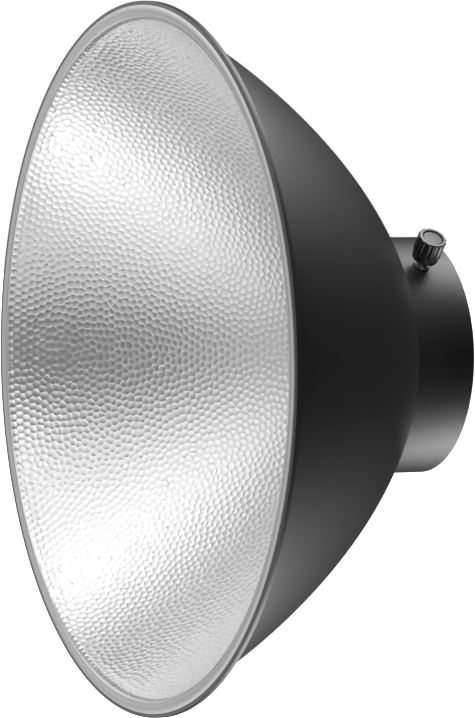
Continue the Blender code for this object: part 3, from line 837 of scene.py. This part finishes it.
def make_clamp_knob():
    """The moulded knob: a plain rounded skirt, the grooved grip and the recess for the cap."""
    low, high = COLLAR_RADIUS + KNOB_BOTTOM, COLLAR_RADIUS + KNOB_TOP
    ribs_low = COLLAR_RADIUS + KNOB_RIBS_BOTTOM
    recess = high - CAP_RECESS
    bore = BOLT_RADIUS + GAP
    sleeve_hole = SLEEVE_RADIUS + GAP
    sleeve_floor = COLLAR_RADIUS + SLEEVE_TOP + GAP
    pocket_floor = COLLAR_RADIUS + KNOB_POCKET_FLOOR
    top_centre = (KNOB_RADIUS - KNOB_TOP_ROUND, high - KNOB_TOP_ROUND)
    skirt_centre = (KNOB_SKIRT_RADIUS - KNOB_SKIRT_ROUND, low + KNOB_SKIRT_ROUND)
    step_centre = (KNOB_RADIUS - KNOB_STEP_ROUND, ribs_low + KNOB_STEP_ROUND)
    top_edge = arc(top_centre, KNOB_TOP_ROUND, pi / 2, 0.0, 8)
    step = arc(step_centre, KNOB_STEP_ROUND, 0.0, -pi / 2, 5)[:-1]
    outline = [
        top_edge[0],
        *[(radius, height, 1.0) for radius, height in top_edge[1:]],
        *[(radius, height, float(height > ribs_low + KNOB_GROOVES_END)) for radius, height in step],
        (KNOB_SKIRT_RADIUS, ribs_low),
        *arc(skirt_centre, KNOB_SKIRT_ROUND, 0.0, -pi / 2, 8),
        (sleeve_hole, low),
        (sleeve_hole, sleeve_floor),
        (bore, sleeve_floor),
        (bore, pocket_floor),
        (KNOB_POCKET_RADIUS, pocket_floor),
        (KNOB_POCKET_RADIUS, recess),
        (CAP_RADIUS + GAP, recess),
        (CAP_RADIUS + GAP, high - EASE),
        (CAP_RADIUS + GAP + EASE * 0.3, high - EASE * 0.3),
        (CAP_RADIUS + GAP + EASE, high),
    ]
    turned(
        "clamp_knob_moulded",
        outline,
        KNOB_RIBS * KNOB_SEGMENTS,
        CLAMP,
        KNOB_PLASTIC,
        "clamp_screw",
        "clamp_knob",
        shape=knob_groove,
    )


def make_knob_cap():
    """The cap in the knob's recess, very slightly dished."""
    low = COLLAR_RADIUS + KNOB_TOP - CAP_RECESS + GAP
    high = low + CAP_THICKNESS
    face = [(CAP_RADIUS * t, high - CAP_DISH * (1 - t * t)) for t in (0.0, 0.3, 0.6, 0.85)]
    edge = arc((CAP_RADIUS - EASE, high - EASE), EASE, pi / 2, 0.0, 4)
    turned(
        "knob_cap_disc",
        face + edge + [(CAP_RADIUS, low), (0.0, low)],
        SMALL_SEGMENTS,
        CLAMP,
        CAP_PLASTIC,
        "clamp_screw",
        "knob_cap",
    )


def refine_node(node, made, width):
    """A CAD node that stays: its edges eased by a bevel, and its own finish."""
    kept = frame["nodes"][node]
    kept.data.materials.clear()
    kept.data.materials.append(made)
    bevel = kept.modifiers.new("eased_edges", "BEVEL")
    bevel.width = width * MM
    bevel.segments = 2
    bevel.limit_method = "ANGLE"
    bevel.angle_limit = radians(50)


# ---- studio ----


CAMERA_AZIMUTH = radians(64.24)
CAMERA_ELEVATION = radians(2.14)
CAMERA_PLACE = (0.04977, 0.0003, 1.957)  # right, up and back from the rim's centre, in metres
CAMERA_LENS = 200.56  # with SENSOR_WIDTH, both in millimetres
SENSOR_WIDTH = 36.0
FLOOR_REACH = 40.0  # metres
FLOOR_LEVEL = -0.62
CAMERA_BACK = Vector(
    (
        sin(CAMERA_AZIMUTH) * cos(CAMERA_ELEVATION),
        -cos(CAMERA_AZIMUTH) * cos(CAMERA_ELEVATION),
        sin(CAMERA_ELEVATION),
    )
)
CAMERA_RIGHT = Vector((cos(CAMERA_AZIMUTH), sin(CAMERA_AZIMUTH), 0))
CAMERA_UP = CAMERA_BACK.cross(CAMERA_RIGHT)
RIM_CENTRE = Vector((0, RIM_Y * MM, 0))


def as_seen(right, up, back):
    """The direction or shift that the camera sees as this far right, up and towards itself."""
    return CAMERA_RIGHT * right + CAMERA_UP * up + CAMERA_BACK * back


def make_camera():
    data = bpy.data.cameras.new("camera")
    data.lens = CAMERA_LENS
    data.sensor_width = SENSOR_WIDTH
    data.clip_end = 200.0
    made = bpy.data.objects.new("camera", data)
    turn = Matrix((CAMERA_RIGHT, CAMERA_UP, CAMERA_BACK)).transposed()
    made.matrix_world = Matrix.Translation(RIM_CENTRE + as_seen(*CAMERA_PLACE)) @ turn.to_4x4()
    bpy.context.scene.collection.objects.link(made)
    bpy.context.scene.camera = made


def make_floor():
    """A pale floor that lights nothing and takes no shadow."""
    mesh = bpy.data.meshes.new("floor")
    corners = [
        (x * FLOOR_REACH, y * FLOOR_REACH, FLOOR_LEVEL) for x, y in ((-1, -1), (1, -1), (1, 1), (-1, 1))
    ]
    mesh.from_pydata(corners, [], [(0, 1, 2, 3)])
    floor = bpy.data.objects.new("floor", mesh)
    made, nodes, links = nodes_of("pale_floor")
    shader = nodes["Principled BSDF"]
    shader.inputs["Base Color"].default_value = (0.9, 0.9, 0.9, 1)
    shader.inputs["Roughness"].default_value = 0.9
    shader.inputs["Emission Color"].default_value = (1, 1, 1, 1)
    shader.inputs["Emission Strength"].default_value = 1.0
    mesh.materials.append(made)
    bpy.context.scene.collection.objects.link(floor)
    floor.visible_glossy = False
    floor.visible_diffuse = False
    floor.visible_shadow = False


def calculate(nodes, links, operation, first, second):
    step = nodes.new("ShaderNodeMath")
    step.operation = operation
    for socket, value in zip(step.inputs, (first, second)):
        if isinstance(value, float):
            socket.default_value = value
        else:
            links.new(value, socket)
    return step.outputs["Value"]


# Soft lights in pairs, one above and one below: the direction (right, up or down, towards the camera), how
# narrow the light is, and the strengths of the upper and the lower one.
SOFT_LIGHTS = {
    "behind_right": ((0.5, 0.8, -0.4), 18.0, 4.8, 4.8),
    "overhead": ((-0.2, 0.95, 0.2), 12.0, 1.8, 1.6),
    "beside_camera": ((0.1, 0.5, 0.85), 22.0, 1.6, 0.9),
    "front_left": ((-0.6, 0.55, 0.55), 10.0, 1.1, 0.9),
    "behind_left": ((-0.78, 0.4, -0.5), 17.0, 1.4, 1.1),
    "left": ((-0.95, 0.15, 0.3), 12.0, 0.3, 0.1),
}


def make_world():
    """White where the camera sees it directly. The pairs of soft lights light the object."""
    bpy.context.scene.view_settings.view_transform = "Standard"
    world = bpy.data.worlds.new("studio")
    bpy.context.scene.world = world
    world.use_nodes = True
    nodes, links = world.node_tree.nodes, world.node_tree.links
    direction = nodes.new("ShaderNodeTexCoord").outputs["Generated"]
    total = None
    pairs = SOFT_LIGHTS.values()
    upper = [(place, narrowness, above) for place, narrowness, above, _ in pairs]
    lower = [((right, -up, back), narrowness, below) for (right, up, back), narrowness, _, below in pairs]
    for place, narrowness, strength in upper + lower:
        along = nodes.new("ShaderNodeVectorMath")
        along.operation = "DOT_PRODUCT"
        links.new(direction, along.inputs[0])
        along.inputs[1].default_value = as_seen(*place).normalized()
        facing = calculate(nodes, links, "MAXIMUM", along.outputs["Value"], 0.0)
        patch = calculate(nodes, links, "POWER", facing, narrowness)
        light = calculate(nodes, links, "MULTIPLY", patch, strength)
        total = calculate(nodes, links, "ADD", total, light) if total else light
    seen_directly = nodes["Background"]
    seen_directly.inputs["Color"].default_value = (1, 1, 1, 1)
    lighting = nodes.new("ShaderNodeBackground")
    lighting.inputs["Color"].default_value = (1, 1, 1, 1)
    links.new(total, lighting.inputs["Strength"])
    path = nodes.new("ShaderNodeLightPath")
    mix = nodes.new("ShaderNodeMixShader")
    links.new(path.outputs["Is Camera Ray"], mix.inputs["Fac"])
    links.new(lighting.outputs["Background"], mix.inputs[1])
    links.new(seen_directly.outputs["Background"], mix.inputs[2])
    links.new(mix.outputs["Shader"], nodes["World Output"].inputs["Surface"])


make_camera()
make_inner_reflector()
make_outer_shell()
make_mounting_collar()
make_neck_ring()
make_rivets()
make_clamp_bush()
make_neck_sleeve()
make_clamp_bolt()
make_clamp_knob()
make_knob_cap()
refine_node("shoe_plate", ZINC, 0.25)
refine_node("shoe_facing", RUBBER, 0.3)
refine_node("shoe_clip", STAINLESS, 0.1)
refine_node("grip_pad_lower", FELT, 0.3)
refine_node("grip_pad_side", FELT, 0.3)
make_floor()
make_world()
